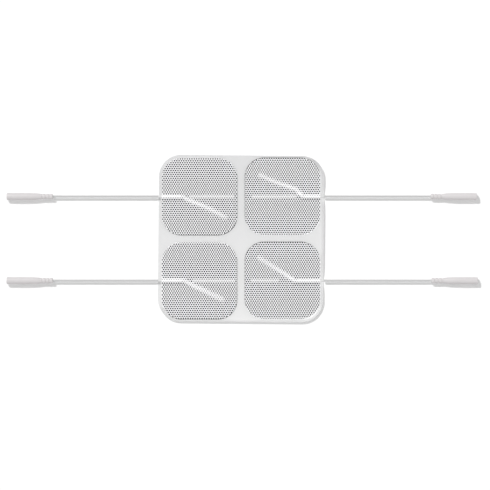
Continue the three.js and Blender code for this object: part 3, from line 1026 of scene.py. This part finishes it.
def liner_curl(points, turn, half):
    """How far the liner is curled up at each point."""
    lead_rows = np.array([Electrode(number).centre.y for number in PAD_NUMBERS])
    beyond = 1 - inside_depth(points @ turn.T, half, LINER_CORNER) / LINER_CURL_WIDTH
    from_lead = np.abs(points[:, 1:] - lead_rows).min(axis=1)
    at_side = np.abs(points[:, 0]) > half[0] - HELD_DOWN_INSET
    near_lead = np.exp(-(from_lead / HELD_DOWN_REACH) ** 2) * at_side
    towards_lower_right = np.maximum(points[:, 0], -points[:, 1]) / half.min()
    lower_right = smooth((towards_lower_right - LOWER_RIGHT_START) / LOWER_RIGHT_BLEND)
    height = LINER_CURL + (LOWER_RIGHT_CURL - LINER_CURL) * lower_right
    height = height - np.maximum(height - CURL_UNDER_LEAD, 0) * near_lead
    return height * np.clip(beyond, 0, 1) ** CURL_POWER


def build_liner(material):
    """The release liner: a rounded square, slightly askew, with a curled edge."""
    low, high = mm_box("release_liner")
    half = np.array([high.x - low.x, high.y - low.y]) / 2
    middle = grid(half, LINER_STEP, LINER_STEP)
    guides = [middle[inside_depth(middle, half, LINER_CORNER) > LINER_CURL_WIDTH + GRID_BEYOND_CURL]]
    for inset in np.arange(CURL_STEP, LINER_CURL_WIDTH + CURL_STEPS_BEYOND, CURL_STEP):
        guides.append(rounded_rectangle(half - inset, LINER_CORNER - inset, LINER_OUTLINE_STEP))
    skew = math.radians(LINER_SKEW_DEGREES)
    turn = np.array([[math.cos(skew), math.sin(skew)], [-math.sin(skew), math.cos(skew)]])
    outline = rounded_rectangle(half, LINER_CORNER, LINER_OUTLINE_STEP)
    liner = sheet("liner_sheet", None, outline @ turn,
                  lambda points: high.z + liner_curl(points, turn, half),
                  lambda points: low.z + liner_curl(points, turn, half),
                  material, guides=np.vstack(guides) @ turn)
    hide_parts("release_liner")
    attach(liner, "liner")


def build_set():
    """The liner and the four electrodes on it."""
    fabric = fabric_look()
    tape = tape_look()
    film = film_look()
    gel = gel_look()
    insulation = insulation_look()
    exit_painted_lighter = exit_look()
    boot = boot_look()
    tinned = metal_look("tinned_strands", (0.70, 0.70, 0.71), (0.82, 0.82, 0.83), 0.35)
    nickel = metal_look("nickel_plate", (0.62, 0.60, 0.55), (0.74, 0.72, 0.67), 0.25)
    build_liner(liner_look())
    for number in PAD_NUMBERS:
        electrode = Electrode(number)
        layer(electrode, f"gel_{number}", f"hydrogel_{number}",
              PAD_CORNER - GEL_CORNER_LESS, gel, GEL_RIM)
        layer(electrode, f"film_{number}", f"carbon_film_{number}", PAD_CORNER, film)
        build_cover(electrode, fabric)
        build_strip(electrode, tape)
        build_strands(electrode, tinned)
        build_lead(electrode, insulation, exit_painted_lighter, tinned)
        build_boot(electrode, boot)
        build_socket(electrode, nickel)
        build_core_end(electrode, tinned)


# ---------------------------------------------------------------- stage

def build_stage():
    """The floor that the set lies on."""
    mesh = bpy.data.meshes.new("floor")
    corners = [(-FLOOR_REACH, -FLOOR_REACH, 0), (FLOOR_REACH, -FLOOR_REACH, 0),
               (FLOOR_REACH, FLOOR_REACH, 0), (-FLOOR_REACH, FLOOR_REACH, 0)]
    mesh.from_pydata(corners, [], [(0, 1, 2, 3)])
    floor = bpy.data.objects.new("floor", mesh)
    floor.location.z = FLOOR_HEIGHT
    mesh.materials.append(floor_look())
    bpy.context.scene.collection.objects.link(floor)


def build_sun(name, strength, direction, shadows):
    """A soft sun that shines from the given direction."""
    light = bpy.data.lights.new(name, "SUN")
    light.energy = strength
    light.angle = math.radians(SUN_ANGLE)
    light.use_shadow = shadows
    holder = bpy.data.objects.new(name, light)
    holder.rotation_mode = "QUATERNION"
    holder.rotation_quaternion = direction.to_track_quat("Z", "Y")
    bpy.context.scene.collection.objects.link(holder)


def build_light():
    """A key from the upper left, a shadowless fill from the lower right and an even sky. The pads'
    layers, the lead exits and the conductors cast no shadow, and the exits darken nothing near them."""
    build_sun("key", KEY_STRENGTH, KEY_FROM, True)
    build_sun("fill", FILL_STRENGTH, FILL_FROM, False)
    for obj in bpy.data.objects:
        if obj.name.startswith(SHADOWLESS):
            obj.visible_shadow = False
        if obj.name.startswith("lead_exit_"):
            obj.visible_diffuse = False
    build_sky()


def build_sky():
    """An even white sky. The camera sees it as bright as the floor, so that no horizon shows."""
    world = bpy.data.worlds.new("studio")
    world.use_nodes = True
    tree = world.node_tree
    path = tree.nodes.new("ShaderNodeLightPath")
    strength = tree.nodes.new("ShaderNodeMapRange")
    strength.inputs["To Min"].default_value = SKY_STRENGTH
    strength.inputs["To Max"].default_value = 1.0
    tree.links.new(path.outputs["Is Camera Ray"], strength.inputs["Value"])
    background = tree.nodes["Background"]
    background.inputs["Color"].default_value = (1, 1, 1, 1)
    tree.links.new(strength.outputs[0], background.inputs["Strength"])
    bpy.context.scene.world = world


def build_camera():
    """A camera that looks straight down on the set."""
    camera = bpy.data.cameras.new("camera")
    camera.lens = LENS
    camera.sensor_width = SENSOR
    camera.clip_end = CLIP_END
    holder = bpy.data.objects.new("camera", camera)
    distance = FRAME_WIDTH * LENS / SENSOR
    holder.location = (VIEW_CENTRE + Vector((0, 0, distance))) * MM
    bpy.context.scene.collection.objects.link(holder)
    bpy.context.scene.camera = holder


build_set()
build_stage()
build_light()
build_camera()
bpy.context.scene.view_settings.view_transform = "Standard"
